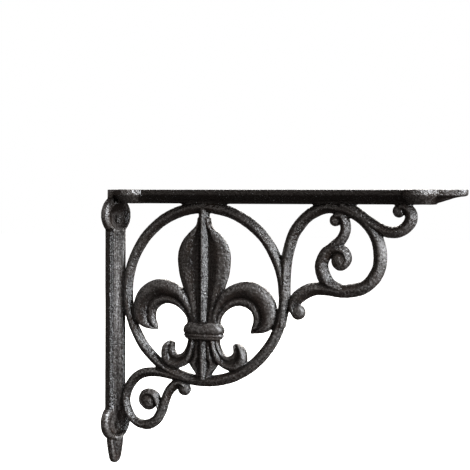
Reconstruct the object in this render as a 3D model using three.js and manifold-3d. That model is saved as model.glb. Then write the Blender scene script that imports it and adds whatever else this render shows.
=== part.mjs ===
// Ornate cast iron shelf bracket: a wall plate and a shelf arm with a ring, a fleur-de-lis and scrollwork.
// Millimetres. X runs out from the wall, Y across the bracket, Z up. One casting, alike on both faces.
import * as THREE from "three";
import { mergeVertices } from "three/addons/utils/BufferGeometryUtils.js";
import Module from "manifold-3d";

const wasm = await Module();
wasm.setup();

// Wall plate and shelf arm
const armLength = 254;
const plateHeight = 191;
const flangeWidth = 22;
const cornerWidth = 16;
const flangeThickness = 4.4;
const ribWidth = 6.4;
const ribDepth = 5.2;
const reedDepth = 0.7;

// Screw places: from the corner to the inner screw, and from the outer screw to the tip
const cornerToScrew = 21;
const screwToTip = 26;
const screwHole = 5.2;
const earShift = 3.2;
const earWidth = 35;
const earLength = 27;
const dishWidth = 24;
const dishLand = 3.2;
const padDepth = 8.6;
const padHeadWidth = 10;
const tailWidth = 18;
const tipWidth = 8;
const tipThickness = 3.2;

// Ring and scrollwork
const ringRadius = 59;
const barWidth = 8;
const barDepth = 8;
const weld = 1.6;

// Fleur-de-lis
const stemWidth = 8.4;
const stemDepth = 9.6;
const bladeDepth = 6.4;
const petalDepth = 9.4;
const curlDepth = 8.4;
const collarDepth = 12.4;

// Facets, all in fours so that each round form reaches its full width, and the size under which a
// sliver left by a join is merged away
const barSides = 8;
const ringSegments = 36;
const collarSides = 12;
const earSides = 16;
const holeSides = 16;
const sliver = 0.1;

const ringPlace = flangeThickness + ribDepth + ringRadius + barWidth / 2 - weld;
const outerScrew = plateHeight - screwToTip;
const mountDrop = (cornerToScrew + outerScrew) / 2;

// A point of the ornament, in hundredths of the ring's radius from its centre
function at([x, z]) {
  const share = ringRadius / 100;
  return new THREE.Vector3(ringPlace + x * share, 0, -ringPlace + z * share);
}

// A closed solid through a run of closed sections, each with the same number of points
function loft(sections, closed = false) {
  const count = sections[0].length;
  const last = sections.length - 1;
  const positions = sections.flat().flatMap((p) => [p.x, p.y, p.z]);
  const index = [];
  for (let i = 0; i < (closed ? sections.length : last); i++) {
    const next = (i + 1) % sections.length;
    for (let j = 0; j < count; j++) {
      const k = (j + 1) % count;
      const a = i * count + j;
      const b = i * count + k;
      const c = next * count + j;
      const d = next * count + k;
      index.push(a, b, d, a, d, c);
    }
  }
  if (!closed) {
    for (const end of [0, last]) {
      const middle = sections[end]
        .reduce((sum, p) => sum.add(p), new THREE.Vector3())
        .divideScalar(count);
      const centre = positions.length / 3;
      positions.push(middle.x, middle.y, middle.z);
      for (let j = 0; j < count; j++) {
        const a = end * count + j;
        const b = end * count + ((j + 1) % count);
        if (end === 0) index.push(b, a, centre);
        else index.push(a, b, centre);
      }
    }
  }
  const geometry = new THREE.BufferGeometry();
  geometry.setAttribute("position", new THREE.Float32BufferAttribute(positions, 3));
  geometry.setIndex(index);
  return solid(geometry);
}

// A geometry as a solid that faces out
function solid(geometry) {
  const bare = geometry.clone();
  bare.deleteAttribute("normal");
  bare.deleteAttribute("uv");
  const merged = mergeVertices(bare, 1e-4);
  const triVerts = new Uint32Array(merged.index.array);
  const vertProperties = merged.attributes.position.array;
  const made = new wasm.Manifold(new wasm.Mesh({ numProp: 3, vertProperties, triVerts }));
  if (made.volume() > 0) return made;
  for (let i = 0; i < triVerts.length; i += 3) triVerts.subarray(i, i + 2).reverse();
  return new wasm.Manifold(new wasm.Mesh({ numProp: 3, vertProperties, triVerts }));
}

function join(solids) {
  return solids.reduce((a, b) => a.add(b));
}

// A smooth curve through a few points of the ornament
function curve(points) {
  return new THREE.CatmullRomCurve3(points.map(at), false, "centripetal");
}

// The section of a bar: crested on both faces, between a diamond and an ellipse
function barSection(centre, across, width, depth) {
  const section = [];
  for (let j = 0; j < barSides; j++) {
    const angle = (j / barSides) * 2 * Math.PI;
    const c = Math.cos(angle);
    const s = Math.sin(angle);
    const reach = (Math.abs(c) ** 1.5 + Math.abs(s) ** 1.5) ** (-1 / 1.5);
    const point = centre.clone().addScaledVector(across, (c * reach * width) / 2);
    point.y += (s * reach * depth) / 2;
    section.push(point);
  }
  return section;
}

// A bar along a curve, with its width in hundredths of the ring's radius at each of its points
function bar(stations, depth = barDepth, steps = 2) {
  const path = curve(stations);
  const last = stations.length - 1;
  const sections = [];
  for (let i = 0; i <= last * steps; i++) {
    const t = i / (last * steps);
    const tangent = path.getTangent(t);
    const across = new THREE.Vector3(-tangent.z, 0, tangent.x);
    const from = Math.min(Math.floor(t * last), last - 1);
    const width = THREE.MathUtils.lerp(stations[from][2], stations[from + 1][2], t * last - from);
    sections.push(barSection(path.getPoint(t), across, (width * ringRadius) / 100, depth));
  }
  return loft(sections);
}

// A round knob, flatter across the bracket than it is wide
function knob(x, z, radius, depth) {
  const centre = at([x, z]);
  const share = (radius * ringRadius) / 100;
  const ball = new THREE.SphereGeometry(share, 10, 7);
  ball.scale(1, depth / (2 * share), 1);
  ball.translate(centre.x, 0, centre.z);
  return solid(ball);
}

// A leaf between two edges, with its profile as [share across, share of the depth]
function leaf(outerEdge, innerEdge, profile, depth, steps, thin = () => 1) {
  const outer = curve(outerEdge);
  const inner = curve(innerEdge);
  const sections = [];
  for (let i = 0; i <= steps; i++) {
    const t = i / steps;
    const a = outer.getPoint(t);
    const b = inner.getPoint(t);
    const face = (side) =>
      profile.map(([share, height]) => {
        const point = a.clone().lerp(b, share);
        point.y = (side * height * depth * thin(t)) / 2;
        return point;
      });
    sections.push([...face(-1), ...face(1).reverse()]);
  }
  return loft(sections);
}

// The same point, or the same edge, on the other side of the fleur's axis
const mirrored = (points) => points.map(([x, z, ...rest]) => [-x, z, ...rest]);

function ring() {
  const sections = [];
  for (let i = 0; i < ringSegments; i++) {
    const angle = (i / ringSegments) * 2 * Math.PI;
    const across = new THREE.Vector3(Math.cos(angle), 0, Math.sin(angle));
    const centre = at([100 * across.x, 100 * across.z]);
    sections.push(barSection(centre, across, barWidth, barDepth));
  }
  return loft(sections, true);
}

// The stem, upper leaf and pendant of the fleur-de-lis share one raised rib down the middle
function fleurLeaves() {
  const bladeProfile = [
    [0, 0.3], [0.08, 0.76], [0.2, 1], [0.38, 0.5], [0.62, 0.5], [0.8, 1], [0.92, 0.76], [1, 0.3],
  ];
  const leafEdge = [
    [7.5, 88], [9.5, 80], [19.5, 70], [28, 60], [32.8, 49], [33.5, 37], [31.5, 23], [27, 9],
    [20, -12], [14, -34],
  ];
  const pendantEdge = [[11, -50], [11.5, -62], [13.5, -73], [18, -80.5], [14.5, -86], [10, -92], [8, -99]];
  const stem = [[0, 97], [0, 70], [0, 10], [0, -40], [0, -70], [0, -98]];
  const share = (100 * stemWidth) / ringRadius;
  return [
    bar(stem.map(([x, z]) => [x, z, share]), stemDepth, 2),
    leaf(mirrored(leafEdge), leafEdge, bladeProfile, bladeDepth, 12),
    leaf(mirrored(pendantEdge), pendantEdge, bladeProfile, bladeDepth, 7),
  ];
}

// A side petal: a high outer roll, a crease, and a lower roll along the inner edge
function petal(turn) {
  const outerEdge = [
    [8, -36], [11.5, -22], [18.5, -5], [27, 6], [40, 13.5], [55, 16.3], [69, 13.5], [81, 5.5],
    [89, -6], [92, -20], [88, -33.5], [77, -41.2], [61, -43.2],
  ];
  const innerEdge = [
    [20, -38], [22.5, -26.5], [28, -19.5], [34, -15], [41, -12.6], [49, -12.3], [56.5, -15],
    [61.5, -20], [63, -25.5], [62.7, -30.5], [61.5, -34.5], [60.3, -38], [59.5, -41],
  ];
  const profile = [
    [0, 0.3], [0.1, 0.72], [0.27, 1], [0.45, 0.86], [0.57, 0.5], [0.72, 0.66], [0.88, 0.56],
    [1, 0.28],
  ];
  const thin = (t) => Math.min(1, 0.55 + 2.2 * t, 0.4 + 4.5 * (1 - t));
  return leaf(turn(outerEdge), turn(innerEdge), profile, petalDepth, 17, thin);
}

// A small curl under the collar
function curl(turn) {
  const outerEdge = [
    [8, -48], [11, -62], [17, -78], [30, -86], [44, -87], [52.5, -80], [54.5, -69], [51, -59.5],
    [44, -54.5],
  ];
  const innerEdge = [
    [19, -48], [20.5, -58], [25, -66.5], [30.5, -70], [35.5, -68.5], [38, -65], [38, -61],
    [37.5, -58], [39, -55.5],
  ];
  const profile = [[0, 0.3], [0.14, 0.8], [0.32, 1], [0.52, 0.72], [0.68, 0.86], [0.88, 0.66], [1, 0.3]];
  const thin = (t) => Math.min(1, 0.45 + 4 * (1 - t));
  return leaf(turn(outerEdge), turn(innerEdge), profile, curlDepth, 10, thin);
}

// The collar that binds the leaves: a bead over two narrow mouldings
function collar() {
  const stations = [
    [-31, 17, 0.55], [-33, 21, 0.78], [-37, 24.3, 0.96], [-41, 25.8, 1], [-44, 25.4, 0.94],
    [-45.6, 24.4, 0.84], [-47, 25, 0.93], [-48.6, 24.2, 0.82], [-50.4, 22.8, 0.9],
    [-52.4, 19.4, 0.72], [-53.6, 16, 0.5],
  ];
  const sections = stations.map(([z, half, deep]) => {
    const section = [];
    for (let j = 0; j < collarSides; j++) {
      const angle = (j / collarSides) * 2 * Math.PI;
      const c = Math.cos(angle);
      const s = Math.sin(angle);
      const reach = (Math.abs(c) ** 2.6 + Math.abs(s) ** 2.6) ** (-1 / 2.6);
      const point = at([c * reach * half, z]);
      point.y = (s * reach * deep * collarDepth) / 2;
      section.push(point);
    }
    return section;
  });
  return loft(sections);
}

// The big volute: it leaves the ring, sweeps under the arm and turns round to a knob by the ring
function volute() {
  const sweep = [
    [98, -34, 8], [100.8, -8, 12.8], [101.4, 16, 13.4], [102.6, 38, 14], [106.8, 58, 14.4],
    [113.8, 74.6, 14.4], [127.6, 90.4, 14], [149, 100.4, 14], [173, 97.5, 13], [193, 88, 14],
    [206.6, 72, 14.6], [213, 50, 16], [210.4, 31, 16], [196.6, 14.6, 14.8], [175, 8.8, 15.6],
    [152, 9.8, 14], [137, 10, 15], [125, 5.8, 16], [115, -2, 15.5], [110.5, -11, 11.5],
    [113, -18, 9],
  ];
  return [bar(sweep), knob(117.3, -16.4, 8.8, 7.6)];
}

// The scroll inside the volute: a spiral to a comma-shaped knob, and a branch up to a small knob
function innerScroll() {
  const spiral = [
    [168, 10, 12.5], [154.5, 15.5, 15.5], [147.3, 25.5, 17], [144.8, 36, 16.4], [147.4, 45.5, 15.6],
    [154.4, 52.6, 15], [164, 54.4, 14], [172.3, 50.6, 13], [175.2, 43.5, 11], [172.4, 36.6, 8.4],
  ];
  const branch = [
    [148.5, 48, 13], [158.4, 56.8, 13], [168, 65.4, 12.6], [172.6, 75, 12.8], [172.2, 84, 13],
    [168, 91.5, 11.4], [161.5, 91.5, 8],
  ];
  return [bar(spiral), bar(branch), knob(167.4, 41.6, 10.8, 8.6), knob(161, 86.6, 6.8, 6.4)];
}

// The S-shaped branch from the volute out under the arm
function outerScroll() {
  const sweep = [
    [168, 103, 12], [182, 97, 13.5], [196, 87.8, 12.6], [208, 80, 13.4], [218.5, 75.5, 13.2],
    [230, 74.3, 13.4], [240, 78, 13.4], [247, 86, 14.4], [247.3, 95, 14.2], [241, 101.5, 11],
    [235, 101.5, 9],
  ];
  return [bar(sweep), knob(234, 97.3, 7.2, 7)];
}

// The scroll under the ring, beside the wall plate
function lowerScroll() {
  const sweep = [
    [-14, -100, 8], [-32, -97.5, 10], [-50, -94, 11], [-68, -93, 11.4], [-82.6, -96.4, 12],
    [-92.4, -104.4, 12], [-99.4, -115, 12], [-102.2, -128, 11.4], [-99, -140.5, 11.4],
    [-92, -150, 11], [-82, -155, 11.4], [-71, -154.8, 12], [-61, -148.4, 12.4], [-54.6, -138, 13],
    [-50.2, -126.5, 12.4], [-45.2, -115, 12.2], [-38.2, -107.4, 12], [-30, -103.8, 11],
    [-23.5, -106.5, 9],
  ];
  const comma = [
    [-55, -139, 9], [-59, -128, 10], [-63, -120.4, 10.4], [-70.5, -117.8, 10.8], [-78, -121, 11],
    [-79.6, -128, 10], [-75.4, -133.6, 8],
  ];
  return [bar(sweep), bar(comma), knob(-24.8, -110.6, 8, 7.4), knob(-71.8, -127.6, 10.8, 8.6)];
}

// Wall plate and arm are the same flange, made lying along S with its seat on D = 0, then set in place.
// The reeded strip: a bead along each edge, a groove, and a rounded rib down the middle
function strip(length) {
  const half = flangeWidth / 2;
  const top = flangeThickness;
  const root = ribWidth / 2;
  const groove = (half + root) / 2 + 1.2;
  const side = [
    [half, 0], [half, top - 1], [half - 0.9, top], [groove + 0.8, top], [groove, top - reedDepth],
    [groove - 0.8, top], [root + 1.6, top], [root + 0.5, top - reedDepth],
    [root, top + 0.35 * ribDepth], [0.8 * root, top + 0.75 * ribDepth],
    [0.4 * root, top + ribDepth],
  ];
  const outline = [...side, ...side.map(([y, d]) => [-y, d]).reverse()];
  const stations = [
    [0, cornerWidth], [cornerToScrew - earLength / 2, cornerWidth], [cornerToScrew, flangeWidth],
    [length, flangeWidth],
  ];
  const sections = stations.map(([s, width]) => {
    const share = width / flangeWidth;
    return outline.map(([y, d]) => new THREE.Vector3(s, y * share, d));
  });
  return loft(sections);
}

// The ear round a screw: an eye-shaped pad with eased edges
function ear(place, depth, topShare) {
  const levels = [
    [0, 0.97], [0.8, 1], [flangeThickness - 0.6, 1], [flangeThickness, 0.96], [depth, topShare],
  ];
  const sections = levels.map(([d, share]) => {
    const section = [];
    for (let j = 0; j < earSides; j++) {
      const angle = (j / earSides) * 2 * Math.PI;
      const s = place - earShift + (share * earLength * Math.cos(angle)) / 2;
      section.push(new THREE.Vector3(s, (share * earWidth * Math.sin(angle)) / 2, d));
    }
    return section;
  });
  return loft(sections);
}

// The tail beyond the outer screw: tapered, ridged and rounded at its tip
function tail(place) {
  const full = flangeThickness + ribDepth;
  const tip = tipWidth / tailWidth;
  const end = tipThickness;
  const stations = [
    [0, 1, full], [0.2, 1, full - 0.8], [0.42, 0.92, full - 2.4], [0.62, 0.78, full - 4],
    [0.82, 0.6, end + 1.4], [0.93, tip, end + 0.8], [0.98, 0.66 * tip, end + 0.4],
    [1, 0.3 * tip, end],
  ];
  const sections = stations.map(([share, wide, depth]) => {
    const s = place + share * screwToTip;
    const half = (wide * tailWidth) / 2;
    const edge = Math.min(flangeThickness, depth - 0.4);
    const outline = [
      [half, 0], [half, edge - 0.8], [0.84 * half, edge], [0.3 * half, depth - 0.2], [0, depth],
    ];
    const other = outline.slice(0, -1).map(([y, d]) => [-y, d]).reverse();
    return [...outline, ...other].map(([y, d]) => new THREE.Vector3(s, y, d));
  });
  return loft(sections);
}

// A round cut down the screw's axis, from [depth, diameter] pairs
function roundCut(place, levels) {
  const cutter = new THREE.LatheGeometry(
    [
      new THREE.Vector2(0, levels[0][0]),
      ...levels.map(([d, diameter]) => new THREE.Vector2(diameter / 2, d)),
      new THREE.Vector2(0, levels.at(-1)[0]),
    ],
    holeSides,
  );
  cutter.rotateX(Math.PI / 2);
  cutter.translate(place, 0, 0);
  return solid(cutter);
}

function flange(length, dished) {
  const full = flangeThickness + ribDepth;
  const outer = length - screwToTip;
  const screws = [cornerToScrew, outer];
  const rim = flangeThickness + 0.8;
  const parts = [strip(outer), tail(outer)];
  for (const place of screws) {
    parts.push(dished ? ear(place, rim, 0.9) : ear(place, padDepth, 0.62));
  }
  let body = join(parts);
  const dish = [
    [-1, screwHole], [dishLand, screwHole], [rim - 0.4, dishWidth], [full + 1, dishWidth + 2],
  ];
  const sunk = [
    [-1, screwHole], [padDepth - 2.6, screwHole], [padDepth, padHeadWidth],
    [full + 1, padHeadWidth],
  ];
  for (const place of screws) {
    body = body.subtract(roundCut(place, dished ? dish : sunk));
  }
  return body;
}

// Column-major matrices that stand the flange against the wall and lay it under the shelf
const againstWall = [0, 0, -1, 0, 0, 1, 0, 0, 1, 0, 0, 0, 0, 0, 0, 1];
const underShelf = [1, 0, 0, 0, 0, 1, 0, 0, 0, 0, -1, 0, 0, 0, 0, 1];

function bracket() {
  const same = (points) => points;
  return join([
    flange(plateHeight, true).transform(againstWall),
    flange(armLength, false).transform(underShelf),
    ring(),
    ...fleurLeaves(),
    petal(same),
    petal(mirrored),
    curl(same),
    curl(mirrored),
    collar(),
    ...volute(),
    ...innerScroll(),
    ...outerScroll(),
    ...lowerScroll(),
  ])
    .simplify(sliver)
    .translate([0, 0, mountDrop]);
}

function meshOf(made, name, material) {
  const { numProp, vertProperties, triVerts } = made.getMesh();
  const positions = new Float32Array((vertProperties.length / numProp) * 3);
  for (let i = 0; i < positions.length / 3; i++) {
    positions.set(vertProperties.subarray(i * numProp, i * numProp + 3), i * 3);
  }
  const geometry = new THREE.BufferGeometry();
  geometry.setAttribute("position", new THREE.BufferAttribute(positions, 3));
  geometry.setIndex(new THREE.BufferAttribute(triVerts, 1));
  geometry.computeVertexNormals();
  const mesh = new THREE.Mesh(geometry, material);
  mesh.name = name;
  return mesh;
}

const castIron = new THREE.MeshStandardMaterial({ color: 0x39332f, roughness: 0.55, metalness: 0.6 });
const shelfBracket = new THREE.Group();
shelfBracket.add(meshOf(bracket(), "cast_bracket", castIron));

export default shelfBracket;
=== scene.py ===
# Ornate cast iron shelf bracket, finished as one rough painted casting and seen from the photograph's angle.
import math

import bmesh
import bpy
import numpy as np
from mathutils import Matrix, Vector, noise


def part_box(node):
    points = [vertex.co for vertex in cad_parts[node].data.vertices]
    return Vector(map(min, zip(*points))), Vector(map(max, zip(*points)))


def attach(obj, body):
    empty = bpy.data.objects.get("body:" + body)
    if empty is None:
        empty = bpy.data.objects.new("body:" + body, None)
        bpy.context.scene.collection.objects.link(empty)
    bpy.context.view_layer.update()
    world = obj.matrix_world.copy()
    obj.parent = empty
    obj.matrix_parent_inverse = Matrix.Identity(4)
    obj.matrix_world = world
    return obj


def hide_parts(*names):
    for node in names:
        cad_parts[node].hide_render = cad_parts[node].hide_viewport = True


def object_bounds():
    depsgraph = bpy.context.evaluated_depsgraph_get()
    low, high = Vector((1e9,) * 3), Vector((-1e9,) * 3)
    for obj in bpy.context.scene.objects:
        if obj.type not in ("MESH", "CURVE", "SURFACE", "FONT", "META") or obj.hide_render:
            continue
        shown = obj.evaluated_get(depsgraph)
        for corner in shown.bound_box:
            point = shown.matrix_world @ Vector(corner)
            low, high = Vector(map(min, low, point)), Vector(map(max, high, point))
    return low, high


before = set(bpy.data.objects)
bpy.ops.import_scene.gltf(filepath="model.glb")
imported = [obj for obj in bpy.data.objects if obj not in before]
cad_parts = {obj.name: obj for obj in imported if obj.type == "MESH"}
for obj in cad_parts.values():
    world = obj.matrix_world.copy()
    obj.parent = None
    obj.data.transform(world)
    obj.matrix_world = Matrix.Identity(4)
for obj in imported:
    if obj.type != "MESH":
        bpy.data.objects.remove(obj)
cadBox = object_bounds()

scene = bpy.context.scene

# The casting is modelled in millimetres, then scaled to metres. The ornament is drawn in hundredths of
# the ring's radius from its centre, x away from the wall and z up, as in the part's source.
casting = {
    "armLength": 254.0,
    "plateHeight": 191.0,
    "cornerAbove": 93.0,  # from the origin up to the top of the arm
    "ringRadius": 59.0,
    "ringPlace": 71.0,  # the ring's centre, from the wall and from the top of the arm
    "voxel": 0.42,
    "roundings": 2,  # passes of smoothing that leave the small fillets of a casting
    "easing": 0.5,
    "faultPasses": 3,
    "speckPoints": 50,  # a closed shell with fewer points is a speck, left by a pocket inside the metal
    "mostTriangles": 196000,  # before the few faulty faces are closed
}
perMetre = 1000


# Points and curves of the ornament
steps = {"along": 6, "across": 4, "tail": 4, "ring": 120}  # from one drawn point to the next, or all round


def spot(x, z):
    share = casting["ringRadius"] / 100
    return Vector((casting["ringPlace"] + x * share, 0, -casting["ringPlace"] + z * share))


def mirrored(points):
    return [(-p[0], *p[1:]) for p in points]


def smoothPath(points, parts):  # a centripetal curve through the points
    points = [Vector(p) for p in points]
    points = [points[0] * 2 - points[1], *points, points[-1] * 2 - points[-2]]
    path = []
    for i in range(1, len(points) - 2):
        a, b, c, d = points[i - 1:i + 3]
        ab, bc, cd = [math.sqrt((q - p).length) for p, q in ((a, b), (b, c), (c, d))]
        leave = ((b - a) / ab - (c - a) / (ab + bc) + (c - b) / bc) * bc
        arrive = ((c - b) / bc - (d - b) / (bc + cd) + (d - c) / cd) * bc
        for k in range(parts):
            t = k / parts
            path.append(
                b * (2 * t**3 - 3 * t**2 + 1) + leave * (t**3 - 2 * t**2 + t)
                + c * (3 * t**2 - 2 * t**3) + arrive * (t**3 - t**2)
            )
    return path + [points[-2]]


def placing(across, deep, along, origin):  # a matrix from where its x, y and z axes and its origin go
    columns = [Vector(across), Vector(deep), Vector(along), Vector(origin)]
    matrix = Matrix.Identity(4)
    for i, column in enumerate(columns):
        matrix.col[i] = (*column, 1 if i == 3 else 0)
    return matrix


# Sections and sweeps. Each bar and blade has a bmesh of its own, because operators are slow in a large one.
bar = {"sides": 24, "power": 1.35}


def mergeInto(bm, part, place=Matrix.Identity(4)):
    bmesh.ops.transform(part, matrix=place, verts=part.verts)
    joined = bpy.data.meshes.new("part")
    part.to_mesh(joined)
    part.free()
    bm.from_mesh(joined)
    bpy.data.meshes.remove(joined)


def roundSection(bm, sides, power):  # from a diamond at 1 through a circle at 2 to a squarer loop
    verts = bmesh.ops.create_circle(bm, segments=sides, radius=1)["verts"]
    for v in verts:
        reach = (abs(v.co.x) ** power + abs(v.co.y) ** power) ** (-1 / power)
        v.co *= reach
    return verts


def drawnSection(bm, outline):
    verts = [bm.verts.new((x, y, 0)) for x, y in outline]
    for a, b in zip(verts, verts[1:] + verts[:1]):
        bm.edges.new((a, b))
    return verts


def edgesOf(verts):  # in the same order each run, which a set wouldn't give
    return list(dict.fromkeys(e for v in verts for e in v.link_edges))


def sweepSection(bm, verts, places):
    edges = edgesOf(verts)
    bmesh.ops.edgeloop_fill(bm, edges=edges)
    bmesh.ops.transform(bm, matrix=places[0], verts=verts)
    for before, after in zip(places, places[1:]):
        made = bmesh.ops.extrude_edge_only(bm, edges=edges)["geom"]
        verts = [g for g in made if isinstance(g, bmesh.types.BMVert)]
        fresh = set(verts)
        edges = [g for g in made if isinstance(g, bmesh.types.BMEdge) and fresh.issuperset(g.verts)]
        bmesh.ops.transform(bm, matrix=after @ before.inverted(), verts=verts)
    bmesh.ops.edgeloop_fill(bm, edges=edges)


def sweepBar(bm, stations, depth, power=bar["power"]):
    part = bmesh.new()
    path = smoothPath(stations, steps["along"])
    share = casting["ringRadius"] / 100
    places = []
    for i, p in enumerate(path):
        step = path[min(i + 1, len(path) - 1)] - path[max(i - 1, 0)]
        along = Vector((step.x, 0, step.y)).normalized()
        across = Vector((-along.z, 0, along.x))
        places.append(placing(across * p.z * share / 2, (0, depth / 2, 0), along, spot(p.x, p.y)))
    sweepSection(part, roundSection(part, bar["sides"], power), places)
    mergeInto(bm, part)


def leafBlade(bm, outerEdge, innerEdge, profile, depth, thinning=(1, 0, 1, 0)):
    root, growth, tip, tipGrowth = thinning
    part = bmesh.new()
    outer = smoothPath([(*p, 0) for p in outerEdge], steps["along"])
    inner = smoothPath([(*p, 0) for p in innerEdge], steps["along"])
    face = [(p.x, p.y / 2) for p in smoothPath([(*p, 0) for p in profile], steps["across"])]
    outline = [(x, -y) for x, y in face] + [(x, y) for x, y in reversed(face)]
    places = []
    for i, (a, b) in enumerate(zip(outer, inner)):
        start, end = spot(a.x, a.y), spot(b.x, b.y)
        across = end - start
        along = Vector((-across.z, 0, across.x)).normalized()
        t = i / (len(outer) - 1)
        deep = depth * min(1, root + growth * t, tip + tipGrowth * (1 - t))
        places.append(placing(across, (0, deep, 0), along, start))
    sweepSection(part, drawnSection(part, outline), places)
    mergeInto(bm, part)


# The fleur-de-lis in its ring
ringBar = {"width": 8.0, "depth": 8.0}

fleur = {
    "stemWidth": 14.2,
    "stemDepth": 9.6,
    "stemPower": 1.3,
    "stemHeights": (97, 70, 10, -40, -70, -98),
    "bladeDepth": 6.6,
    "petalDepth": 9.6,
    "curlDepth": 8.6,
    "petalThinning": (0.55, 2.2, 0.4, 4.5),  # share of the depth at the root and its growth, and from the tip
    "curlThinning": (1, 0, 0.45, 4),
    "collarDepth": 12.6,
    "collarSides": 40,
    "collarPower": 2.6,
    "leafEdge": [
        (7.5, 88), (9.5, 80), (19.5, 70), (28, 60), (32.8, 49), (33.5, 37), (31.5, 23), (27, 9),
        (20, -12), (14, -34),
    ],
    "pendantEdge": [
        (11, -50), (11.5, -62), (13.5, -73), (18, -80.5), (14.5, -86), (10, -92), (8, -99),
    ],
    "bladeProfile": [
        (0, 0.3), (0.06, 0.7), (0.18, 1), (0.3, 0.66), (0.4, 0.44), (0.6, 0.44), (0.7, 0.66),
        (0.82, 1), (0.94, 0.7), (1, 0.3),
    ],
    "petalOuter": [
        (8, -36), (11.5, -22), (18.5, -5), (27, 6), (40, 13.5), (55, 16.3), (69, 13.5), (81, 5.5),
        (89, -6), (92, -20), (88, -33.5), (77, -41.2), (61, -43.2),
    ],
    "petalInner": [
        (20, -38), (22.5, -26.5), (28, -19.5), (34, -15), (41, -12.6), (49, -12.3), (56.5, -15),
        (61.5, -20), (63, -25.5), (62.7, -30.5), (61.5, -34.5), (60.3, -38), (59.5, -41),
    ],
    "petalProfile": [
        (0, 0.3), (0.07, 0.62), (0.2, 0.93), (0.34, 1), (0.5, 0.88), (0.61, 0.66), (0.68, 0.5),
        (0.75, 0.64), (0.84, 0.7), (0.93, 0.55), (1, 0.28),
    ],
    "curlOuter": [
        (8, -48), (11, -62), (17, -78), (30, -86), (44, -87), (52.5, -80), (54.5, -69), (51, -59.5),
        (44, -54.5),
    ],
    "curlInner": [
        (19, -48), (20.5, -58), (25, -66.5), (30.5, -70), (35.5, -68.5), (38, -65), (38, -61),
        (37.5, -58), (39, -55.5),
    ],
    "curlProfile": [
        (0, 0.3), (0.1, 0.7), (0.28, 1), (0.45, 0.88), (0.58, 0.64), (0.65, 0.54), (0.73, 0.66),
        (0.83, 0.72), (0.93, 0.58), (1, 0.3),
    ],
    "collarStations": [  # height, half width, share of the depth
        (-31, 17, 0.55), (-33, 21, 0.78), (-37, 24.3, 0.96), (-41, 25.8, 1), (-43.6, 25.4, 0.95),
        (-45.6, 23.8, 0.8), (-47, 25, 0.93), (-48.4, 24.6, 0.88), (-49.2, 23.4, 0.78),
        (-50.4, 23.2, 0.9), (-52.4, 19.4, 0.72), (-53.6, 16, 0.5),
    ],
}


def addRing(bm):
    verts = roundSection(bm, bar["sides"], bar["power"])
    out = placing((ringBar["width"] / 2, 0, 0), (0, ringBar["depth"] / 2, 0), (0, 0, 1), spot(100, 0))
    bmesh.ops.transform(bm, matrix=out, verts=verts)
    edges = edgesOf(verts)
    bmesh.ops.spin(
        bm, geom=verts + edges, cent=spot(0, 0), axis=(0, 1, 0), dvec=(0, 0, 0),
        angle=2 * math.pi, steps=steps["ring"], use_merge=True,
    )


def addFleur(bm):
    stem = [(0, z, fleur["stemWidth"]) for z in fleur["stemHeights"]]
    sweepBar(bm, stem, fleur["stemDepth"], power=fleur["stemPower"])
    for edge in ("leafEdge", "pendantEdge"):
        leafBlade(bm, mirrored(fleur[edge]), fleur[edge], fleur["bladeProfile"], fleur["bladeDepth"])
    for turn in (list, mirrored):
        leafBlade(
            bm, turn(fleur["petalOuter"]), turn(fleur["petalInner"]), fleur["petalProfile"],
            fleur["petalDepth"], fleur["petalThinning"],
        )
        leafBlade(
            bm, turn(fleur["curlOuter"]), turn(fleur["curlInner"]), fleur["curlProfile"],
            fleur["curlDepth"], fleur["curlThinning"],
        )
    share = casting["ringRadius"] / 100
    places = [
        placing((half * share, 0, 0), (0, deep * fleur["collarDepth"] / 2, 0), (0, 0, -1), spot(0, z))
        for z, half, deep in fleur["collarStations"]
    ]
    part = bmesh.new()
    sweepSection(part, roundSection(part, fleur["collarSides"], fleur["collarPower"]), places)
    mergeInto(bm, part)


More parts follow.
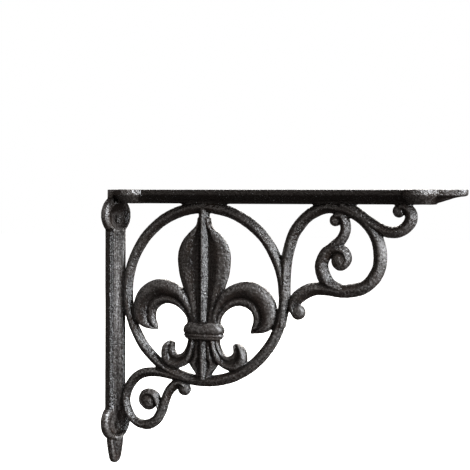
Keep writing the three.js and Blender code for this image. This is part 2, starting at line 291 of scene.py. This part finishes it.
# The scrolls: each bar by its points as x, z and width
scrolls = {
    "depth": 8.0,
    "knobSides": 28,
    "knobRings": 18,
    "bars": {
        "volute": [
            (98, -34, 8), (100.8, -8, 12.8), (101.4, 16, 13.4), (102.6, 38, 14), (106.8, 58, 14.4),
            (113.8, 74.6, 14.4), (127.6, 90.4, 14), (149, 100.4, 14), (173, 97.5, 13), (193, 88, 14),
            (206.6, 72, 14.6), (213, 50, 16), (210.4, 31, 16), (196.6, 14.6, 14.8), (175, 8.8, 15.6),
            (152, 9.8, 14), (137, 10, 15), (125, 5.8, 16), (115, -2, 15.5), (110.5, -11, 11.5),
            (113, -18, 9),
        ],
        "spiral": [
            (168, 10, 12.5), (154.5, 15.5, 15.5), (147.3, 25.5, 17), (144.8, 36, 16.4),
            (147.4, 45.5, 15.6), (154.4, 52.6, 15), (164, 54.4, 14), (172.3, 50.6, 13),
            (175.2, 43.5, 11), (172.4, 36.6, 8.4),
        ],
        "branch": [
            (148.5, 48, 13), (158.4, 56.8, 13), (168, 65.4, 12.6), (172.6, 75, 12.8), (172.2, 84, 13),
            (168, 91.5, 11.4), (161.5, 91.5, 8),
        ],
        "outer": [
            (168, 103, 12), (182, 97, 13.5), (196, 87.8, 12.6), (208, 80, 13.4), (218.5, 75.5, 13.2),
            (230, 74.3, 13.4), (240, 78, 13.4), (247, 86, 14.4), (247.3, 95, 14.2), (241, 101.5, 11),
            (235, 101.5, 9),
        ],
        "lower": [
            (-14, -100, 8), (-32, -97.5, 10), (-50, -94, 11), (-68, -93, 11.4), (-82.6, -96.4, 12),
            (-92.4, -104.4, 12), (-99.4, -115, 12), (-102.2, -128, 11.4), (-99, -140.5, 11.4),
            (-92, -150, 11), (-82, -155, 11.4), (-71, -154.8, 12), (-61, -148.4, 12.4),
            (-54.6, -138, 13), (-50.2, -126.5, 12.4), (-45.2, -115, 12.2), (-38.2, -107.4, 12),
            (-30, -103.8, 11), (-23.5, -106.5, 9),
        ],
        "comma": [
            (-55, -139, 9), (-59, -128, 10), (-63, -120.4, 10.4), (-70.5, -117.8, 10.8),
            (-78, -121, 11), (-79.6, -128, 10), (-75.4, -133.6, 8),
        ],
    },
    "knobs": [  # x, z, radius, depth in millimetres
        (117.3, -16.4, 8.8, 7.6), (167.4, 41.6, 10.8, 8.6), (161, 86.6, 6.8, 6.4),
        (234, 97.3, 7.2, 7), (-24.8, -110.6, 8, 7.4), (-71.8, -127.6, 10.8, 8.6),
    ],
}


def knob(bm, x, z, radius, depth):
    share = radius * casting["ringRadius"] / 100
    place = placing((share, 0, 0), (0, 0, share), (0, -depth / 2, 0), spot(x, z))
    bmesh.ops.create_uvsphere(
        bm, u_segments=scrolls["knobSides"], v_segments=scrolls["knobRings"], radius=1, matrix=place,
    )


def addScrolls(bm):
    for stations in scrolls["bars"].values():
        sweepBar(bm, stations, scrolls["depth"])
    for x, z, radius, depth in scrolls["knobs"]:
        knob(bm, x, z, radius, depth)


# The wall plate and the shelf arm: one reeded flange, drawn lying along X with its seat on Z = 0
flange = {
    "width": 22.0,
    "cornerWidth": 16.0,
    "thickness": 4.4,
    "ribDepth": 5.2,
    "cornerToScrew": 21.0,
    "screwToTip": 26.0,
    "earShift": 3.2,
    "earWidth": 35.0,
    "earLength": 27.0,
    "roundSides": 64,
    "earFoot": (0.8, 0.97),  # how high its eased lower edge is, and the share of the ear's size there
    "earEdge": (0.7, 0.96),  # the same for its upper edge
    "dishedTop": 0.9,  # share of the ear's size at its top, round a dish
    "padTop": 0.62,  # and on a countersunk pad
    "dishRim": 5.2,
    "dish": [  # height over the seat, half length, half width, shift toward the corner
        (-1, 2.6, 2.6, 0), (3.2, 2.6, 2.6, 0), (3.25, 4.4, 5.2, 0.5), (3.45, 6.4, 9, 1.1),
        (4.0, 8, 11.8, 1.7), (4.8, 8.9, 13.3, 2), (5.6, 9.5, 14.3, 2), (11, 9.7, 14.6, 2),
    ],
    "padDepth": 9.5,
    "countersink": [(-1, 2.6, 2.6, 0), (6.9, 2.6, 2.6, 0), (9.5, 5, 5, 0), (11, 5, 5, 0)],
    "profile": [  # half of the section, from the seat's edge over the reeds to the crest of the rib
        (11, 0), (11, 3.8), (10.6, 4.4), (9.4, 4.5), (8.9, 4.2), (8.6, 3.4), (8.4, 4.2), (8.25, 5.2),
        (7.9, 5.7), (6.6, 5.7), (5.8, 5.5), (5.3, 4.9), (5.1, 4.3), (4.9, 5.2), (4.75, 6.4),
        (4.4, 6.9), (3.4, 6.9), (2.9, 6.6), (2.6, 5.8), (2.4, 6.6), (2.1, 8), (1.7, 9), (0.9, 9.5),
    ],
    "tongue": [  # half width and height as shares, from edge to edge
        (1, 0), (1, 0.8), (0.9, 0.96), (0.78, 1), (-0.78, 1), (-0.9, 0.96), (-1, 0.8), (-1, 0),
    ],
    "ridge": [
        (0.78, 0), (0.74, 0.42), (0.4, 0.82), (0.14, 0.98), (0, 1), (-0.14, 0.98), (-0.4, 0.82),
        (-0.74, 0.42), (-0.78, 0),
    ],
    "tail": [  # share of the way to the tip, half width, height of the ridge
        (0, 9, 9.6), (0.2, 9, 8.9), (0.42, 8.3, 7.3), (0.62, 7.1, 5.7), (0.78, 5.8, 4.8),
        (0.9, 4.5, 4.2), (0.96, 3.3, 3.8), (0.99, 1.9, 3.4), (1, 0.9, 3.2),
    ],
}


def addStrip(bm, length):
    half = flange["profile"]
    crest = [(0, flange["thickness"] + flange["ribDepth"])]
    outline = half + crest + [(-y, d) for y, d in reversed(half)]
    corner = flange["cornerWidth"] / flange["width"]
    narrow = flange["cornerToScrew"] - flange["earLength"] / 2
    stations = [(0, corner), (narrow, corner), (flange["cornerToScrew"], 1), (length, 1)]
    places = [placing((0, share, 0), (0, 0, 1), (1, 0, 0), (s, 0, 0)) for s, share in stations]
    sweepSection(bm, drawnSection(bm, outline), places)


def addEar(bm, at, depth, topShare):
    thick = flange["thickness"]
    foot, footShare = flange["earFoot"]
    edge, edgeShare = flange["earEdge"]
    levels = [(0, footShare), (foot, 1), (thick - edge, 1), (thick, edgeShare), (depth, topShare)]
    places = []
    for d, share in levels:
        along = share * flange["earLength"] / 2
        wide = share * flange["earWidth"] / 2
        places.append(placing((along, 0, 0), (0, wide, 0), (0, 0, 1), (at - flange["earShift"], 0, d)))
    sweepSection(bm, roundSection(bm, flange["roundSides"], 2), places)


def addTail(bm, at):  # a flat tongue with a ridge that runs out along it
    path = smoothPath(flange["tail"], steps["tail"])
    flat = []
    raised = []
    for p in path:
        s = at + p.x * flange["screwToTip"]
        thick = min(flange["thickness"], p.z)
        flat.append(placing((0, p.y, 0), (0, 0, thick), (1, 0, 0), (s, 0, 0)))
        raised.append(placing((0, p.y, 0), (0, 0, p.z), (1, 0, 0), (s, 0, 0)))
    sweepSection(bm, drawnSection(bm, flange["tongue"]), flat)
    sweepSection(bm, drawnSection(bm, flange["ridge"]), raised)


def addFlange(bm, length, dished, place):
    part = bmesh.new()
    outer = length - flange["screwToTip"]
    addStrip(part, outer)
    addTail(part, outer)
    for at in (flange["cornerToScrew"], outer):
        if dished:
            addEar(part, at, flange["dishRim"], flange["dishedTop"])
        else:
            addEar(part, at, flange["padDepth"], flange["padTop"])
    mergeInto(bm, part, place)


def addScrewCuts(bm, length, dished, place):
    for at in (flange["cornerToScrew"], length - flange["screwToTip"]):
        part = bmesh.new()
        places = [
            placing((along, 0, 0), (0, wide, 0), (0, 0, 1), (at - shift, 0, d))
            for d, along, wide, shift in flange["dish" if dished else "countersink"]
        ]
        sweepSection(part, roundSection(part, flange["roundSides"], 2), places)
        mergeInto(bm, part, place)


againstWall = placing((0, 0, -1), (0, 1, 0), (1, 0, 0), (0, 0, 0))
underShelf = placing((1, 0, 0), (0, 1, 0), (0, 0, -1), (0, 0, 0))


# One casting: everything merged by a fine remesh, eased, drilled and thinned
def sortFaces(bm):  # by their three first points, because extruding leaves them in a new order each run
    bm.verts.index_update()
    count = len(bm.verts)

    def order(face):
        first, second, third = sorted(v.index for v in face.verts)[:3]
        return (first * count + second) * count + third

    bm.faces.sort(key=order)


def finishedObject(name, bm):
    bmesh.ops.translate(bm, vec=(0, 0, casting["cornerAbove"]), verts=bm.verts)
    bmesh.ops.scale(bm, vec=(1 / perMetre, 1 / perMetre, 1 / perMetre), verts=bm.verts)
    bmesh.ops.recalc_face_normals(bm, faces=bm.faces)
    sortFaces(bm)
    mesh = bpy.data.meshes.new(name)
    bm.to_mesh(mesh)
    bm.free()
    made = bpy.data.objects.new(name, mesh)
    scene.collection.objects.link(made)
    return made


def settled(made):  # the object's mesh with its modifiers applied
    graph = bpy.context.evaluated_depsgraph_get()
    mesh = bpy.data.meshes.new_from_object(made.evaluated_get(graph))
    made.modifiers.clear()
    made.data = mesh


def dropSpecks(bm):
    seen = set()
    specks = []
    for start in bm.verts:
        if start in seen:
            continue
        seen.add(start)
        shell = [start]
        for v in shell:
            for e in v.link_edges:
                other = e.other_vert(v)
                if other not in seen:
                    seen.add(other)
                    shell.append(other)
        if len(shell) < casting["speckPoints"]:
            specks += shell
    bmesh.ops.delete(bm, geom=specks, context="VERTS")


def closeFaults(made):  # takes out the few crossed faces that thinning leaves and fills their holes
    bm = bmesh.new()
    bm.from_mesh(made.data)
    for _ in range(casting["faultPasses"]):
        faults = [e for e in bm.edges if not e.is_manifold]
        if not faults:
            break
        crossed = list(dict.fromkeys(f for e in faults for v in e.verts for f in v.link_faces))
        bmesh.ops.delete(bm, geom=crossed, context="FACES")
        rims = [e for e in bm.edges if e.is_boundary]
        filled = bmesh.ops.holes_fill(bm, edges=rims)["faces"]
        bmesh.ops.triangulate(bm, faces=filled)
    dropSpecks(bm)
    print("edges left open or crossed:", sum(not e.is_manifold for e in bm.edges))
    bm.to_mesh(made.data)
    bm.free()


def makeCasting():
    rough = bmesh.new()
    addRing(rough)
    addFleur(rough)
    addScrolls(rough)
    addFlange(rough, casting["plateHeight"], True, againstWall)
    addFlange(rough, casting["armLength"], False, underShelf)
    cuts = bmesh.new()
    addScrewCuts(cuts, casting["plateHeight"], True, againstWall)
    addScrewCuts(cuts, casting["armLength"], False, underShelf)
    made = finishedObject("bracket_casting", rough)
    drill = finishedObject("screw_cuts", cuts)
    remesh = made.modifiers.new("merge", "REMESH")
    remesh.mode = "VOXEL"
    remesh.voxel_size = casting["voxel"] / perMetre
    ease = made.modifiers.new("ease", "SMOOTH")
    ease.factor = casting["easing"]
    ease.iterations = casting["roundings"]
    drilled = made.modifiers.new("drill", "BOOLEAN")
    drilled.operation = "DIFFERENCE"
    drilled.solver = "MANIFOLD"
    drilled.object = drill
    settled(made)
    bpy.data.objects.remove(drill)
    triangles = sum(len(p.vertices) - 2 for p in made.data.polygons)
    print("casting merged and drilled,", triangles, "triangles")
    thin = made.modifiers.new("thin", "DECIMATE")
    thin.ratio = min(1, casting["mostTriangles"] / triangles)
    settled(made)
    closeFaults(made)
    return made


def pointsAndNormals(mesh):
    places = np.empty(len(mesh.vertices) * 3)
    normals = np.empty(len(mesh.vertices) * 3)
    mesh.vertices.foreach_get("co", places)
    mesh.vertices.foreach_get("normal", normals)
    return places.reshape(-1, 3), normals.reshape(-1, 3)


# Sand-cast unevenness in the shape itself, held inside the box of the solid it stands for
unevenness = {"swell": 0.22, "swellSize": 9.0, "pits": 0.12, "pitSize": 1.7}


def roughen(made):
    low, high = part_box("cast_bracket")
    mesh = made.data
    places, normals = pointsAndNormals(mesh)  # read once: writing a point makes all the normals stale
    moves = []
    for p in places * perMetre:
        point = Vector(p)
        swell = noise.noise(point / unevenness["swellSize"])
        pits = noise.noise(point / unevenness["pitSize"])
        moves.append(unevenness["swell"] * swell + unevenness["pits"] * pits)
    places += normals * np.array(moves)[:, None] / perMetre
    mesh.vertices.foreach_set("co", np.clip(places, low, high).ravel())
    mesh.update()


# Where the surface bulges or sinks, for the worn ridges and for the painted shade that darkens the hollows
reliefLook = {
    "reach": 7,  # passes of averaging for the level round a point
    "evening": 2,  # and for the bulge over it
    "gain": 2.6,  # for each millimetre of bulge
    "flat": 0.5,
}


def markRelief(made):
    mesh = made.data
    places, normals = pointsAndNormals(mesh)
    ends = np.empty(len(mesh.edges) * 2, dtype=np.int64)
    mesh.edges.foreach_get("vertices", ends)
    ends = ends.reshape(-1, 2)
    neighbours = np.bincount(ends.ravel(), minlength=len(places))

    def average(values):
        total = np.zeros_like(values)
        np.add.at(total, ends[:, 0], values[ends[:, 1]])
        np.add.at(total, ends[:, 1], values[ends[:, 0]])
        return total / neighbours.reshape(-1, *[1] * (values.ndim - 1))

    smooth = places.copy()
    for _ in range(reliefLook["reach"]):
        smooth = average(smooth)
    bulge = np.einsum("ij,ij->i", places - smooth, normals) * perMetre
    for _ in range(reliefLook["evening"]):
        bulge = average(bulge)
    relief = np.clip(reliefLook["flat"] + bulge * reliefLook["gain"], 0, 1)
    layer = mesh.attributes.new("relief", "FLOAT", "POINT")
    layer.data.foreach_set("value", relief.astype(np.float32))
    print("relief marked, from", round(float(relief.min()), 2), "to", round(float(relief.max()), 2))


# Worn dark brown-black paint over pebbly sand-cast iron
paint = {
    "dark": (0.0110, 0.0096, 0.0089, 1),
    "brown": (0.030, 0.020, 0.015, 1),
    "worn": (0.105, 0.098, 0.093, 1),
    # near black: painted shade for the hollows, standing in for the shade in creases and grooves
    "paintedShade": (0.004, 0.003, 0.0025, 1),
    "specular": 0.9,
    "patches": (14.0, 4, 0.6),  # noise as size in millimetres, detail and roughness
    "pebbles": (1.7, 3, 0.6),
    "grain": (1.0, 2, 0.5),
    "pebbleHeight": 0.8,
    "grainHeight": 0.4,
    "brownShare": (0.42, 0.68, 0.1, 0.85),  # over a noise or the relief: from, to, share there and there
    "wornRidges": (0.56, 0.8, 0, 0.9),
    "wornPebbles": (0.4, 0.62, 0.1, 1),
    "specks": (0.56, 0.68, 0, 0.35),
    "hollows": (0.26, 0.47, 0.85, 0),
    "roughness": (0.3, 0.7, 0.12, 0.32),
}


def ironMaterial():
    material = bpy.data.materials.new("worn_painted_cast_iron")
    material.use_nodes = True
    nodes = material.node_tree.nodes
    links = material.node_tree.links
    shader = nodes["Principled BSDF"]
    shader.inputs["Specular IOR Level"].default_value = paint["specular"]
    place = nodes.new("ShaderNodeTexCoord").outputs["Object"]
    attribute = nodes.new("ShaderNodeAttribute")
    attribute.attribute_name = "relief"
    relief = attribute.outputs["Fac"]

    def grain(look):
        size, detail, rough = paint[look]
        node = nodes.new("ShaderNodeTexNoise")
        node.inputs["Scale"].default_value = perMetre / size
        node.inputs["Detail"].default_value = detail
        node.inputs["Roughness"].default_value = rough
        links.new(place, node.inputs["Vector"])
        return node.outputs["Fac"]

    def ranged(source, look):
        node = nodes.new("ShaderNodeMapRange")
        for name, value in zip(("From Min", "From Max", "To Min", "To Max"), paint[look]):
            node.inputs[name].default_value = value
        links.new(source, node.inputs["Value"])
        return node.outputs["Result"]

    def multiplied(a, b):
        node = nodes.new("ShaderNodeMath")
        node.operation = "MULTIPLY"
        links.new(a, node.inputs[0])
        links.new(b, node.inputs[1])
        return node.outputs["Value"]

    def mixed(share, a, b):  # inputs 6 and 7 and output 2 are the node's color sockets
        node = nodes.new("ShaderNodeMix")
        node.data_type = "RGBA"
        links.new(share, node.inputs["Factor"])
        for socket, value in ((node.inputs[6], a), (node.inputs[7], b)):
            if isinstance(value, tuple):
                socket.default_value = value
            else:
                links.new(value, socket)
        return node.outputs[2]

    patches = grain("patches")
    pebbles = grain("pebbles")
    fine = grain("grain")
    color = mixed(ranged(patches, "brownShare"), paint["dark"], paint["brown"])
    scuffed = multiplied(ranged(relief, "wornRidges"), ranged(pebbles, "wornPebbles"))
    color = mixed(scuffed, color, paint["worn"])
    color = mixed(ranged(fine, "specks"), color, paint["worn"])
    # painted shade: where the surface sinks, the colour is darkened toward near black, standing in for the
    # shade in creases, grooves and between the reeds
    color = mixed(ranged(relief, "hollows"), color, paint["paintedShade"])
    links.new(color, shader.inputs["Base Color"])
    links.new(ranged(pebbles, "roughness"), shader.inputs["Roughness"])

    bump = None
    for source, height in ((pebbles, paint["pebbleHeight"]), (fine, paint["grainHeight"])):
        node = nodes.new("ShaderNodeBump")
        node.inputs["Strength"].default_value = 1
        node.inputs["Distance"].default_value = height / perMetre
        links.new(source, node.inputs["Height"])
        if bump:
            links.new(bump, node.inputs["Normal"])
        bump = node.outputs["Normal"]
    links.new(bump, shader.inputs["Normal"])
    return material


casting3d = makeCasting()
roughen(casting3d)
markRelief(casting3d)
casting3d.data.materials.clear()
casting3d.data.materials.append(ironMaterial())
casting3d.data.shade_smooth()
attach(casting3d, "root")
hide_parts("cast_bracket")
print("casting finished,", sum(len(p.vertices) - 2 for p in casting3d.data.polygons), "triangles")

# Plain white floor and soft studio light: the key high on the arm's side, a low side light into the dishes,
# a weak fill, and a light on the back for the views from behind
studio = {
    "floorDrop": 0.03,
    "floorSize": 14.0,
    "floorPlace": (0.1, 0),
    "floorColor": (0.9, 0.9, 0.9, 1),
    "floorRoughness": 0.9,
    "floorGlow": 1.0,
    "white": (1, 1, 1, 1),
    "aim": (0.12, 0, 0),
    "key": {"at": (1.9, -0.35, 1.25), "size": 0.9, "power": 120.0, "color": (0.93, 0.96, 1.0)},
    "side": {"at": (1.7, -0.6, 0.1), "size": 0.5, "power": 21.0, "color": (0.95, 0.97, 1.0)},
    "fill": {"at": (-0.5, -1.4, 0.7), "size": 1.4, "power": 3.0, "color": (1.0, 0.92, 0.86)},
    "back": {"at": (-0.4, 1.9, 1.0), "size": 1.2, "power": 45.0, "color": (1.0, 0.96, 0.92)},
    "ambient": (0.052, 0.042, 0.038, 1),
}


def addFloor():
    bm = bmesh.new()
    low = cadBox[0].z - studio["floorDrop"]
    bmesh.ops.create_grid(bm, x_segments=1, y_segments=1, size=studio["floorSize"] / 2,
                          matrix=Matrix.Translation((*studio["floorPlace"], low)))
    mesh = bpy.data.meshes.new("floor")
    bm.to_mesh(mesh)
    bm.free()
    floor = bpy.data.objects.new("floor", mesh)
    scene.collection.objects.link(floor)
    material = bpy.data.materials.new("white_floor")
    material.use_nodes = True
    shader = material.node_tree.nodes["Principled BSDF"]
    shader.inputs["Base Color"].default_value = studio["floorColor"]
    shader.inputs["Roughness"].default_value = studio["floorRoughness"]
    shader.inputs["Emission Color"].default_value = studio["white"]
    shader.inputs["Emission Strength"].default_value = studio["floorGlow"]
    mesh.materials.append(material)
    floor.visible_diffuse = False  # the white floor is seen but throws no light up at the casting
    floor.visible_glossy = False


def addLight(name, look):
    light = bpy.data.lights.new(name, "AREA")
    light.size = look["size"]
    light.energy = look["power"]
    light.color = look["color"]
    made = bpy.data.objects.new(name, light)
    made.location = look["at"]
    aim = Vector(studio["aim"]) - made.location
    made.rotation_euler = aim.to_track_quat("-Z", "Y").to_euler()
    scene.collection.objects.link(made)


def addWorld():  # white where the camera sees it, dim where it lights the casting
    world = bpy.data.worlds.new("studio")
    world.use_nodes = True
    scene.world = world
    nodes = world.node_tree.nodes
    links = world.node_tree.links
    dim = nodes["Background"]
    dim.inputs["Color"].default_value = studio["ambient"]
    seen = nodes.new("ShaderNodeBackground")
    seen.inputs["Color"].default_value = studio["white"]
    path = nodes.new("ShaderNodeLightPath")
    mix = nodes.new("ShaderNodeMixShader")
    links.new(path.outputs["Is Camera Ray"], mix.inputs["Fac"])
    links.new(dim.outputs["Background"], mix.inputs[1])
    links.new(seen.outputs["Background"], mix.inputs[2])
    links.new(mix.outputs["Shader"], nodes["World Output"].inputs["Surface"])


# The camera fitted to the photograph's ring, for a square frame
camera = {
    "frame": 470,
    "focal": 1418.18,  # in pixels of that frame
    "sensor": 36.0,
    "azimuth": 24.94,
    "elevation": 1.27,
    "roll": 0.27,
    "ringCentre": (0.071, 0.0, 0.022),
    "ringPixel": (204.03, 294.23),
    "distance": 0.9628,
    "reach": 50,
}


def addCamera():
    turn, lift, roll = [math.radians(camera[k]) for k in ("azimuth", "elevation", "roll")]
    back = Vector((math.sin(turn) * math.cos(lift), -math.cos(turn) * math.cos(lift), math.sin(lift)))
    level = Vector((math.cos(turn), math.sin(turn), 0))
    upright = back.cross(level)
    right = level * math.cos(roll) + upright * math.sin(roll)
    up = upright * math.cos(roll) - level * math.sin(roll)
    half = camera["frame"] / 2
    aside = (camera["ringPixel"][0] - half) / camera["focal"] * camera["distance"]
    below = (camera["ringPixel"][1] - half) / camera["focal"] * camera["distance"]
    place = Vector(camera["ringCentre"]) - right * aside + up * below + back * camera["distance"]
    lens = bpy.data.cameras.new("photo_camera")
    lens.sensor_width = camera["sensor"]
    lens.lens = camera["focal"] * camera["sensor"] / camera["frame"]
    lens.clip_end = camera["reach"]
    made = bpy.data.objects.new("photo_camera", lens)
    made.matrix_world = placing(right, up, back, place)
    scene.collection.objects.link(made)
    scene.camera = made


addFloor()
for name in ("key", "side", "fill", "back"):
    addLight(name, studio[name])
addWorld()
addCamera()
scene.view_settings.view_transform = "Standard"
print("studio and camera set")
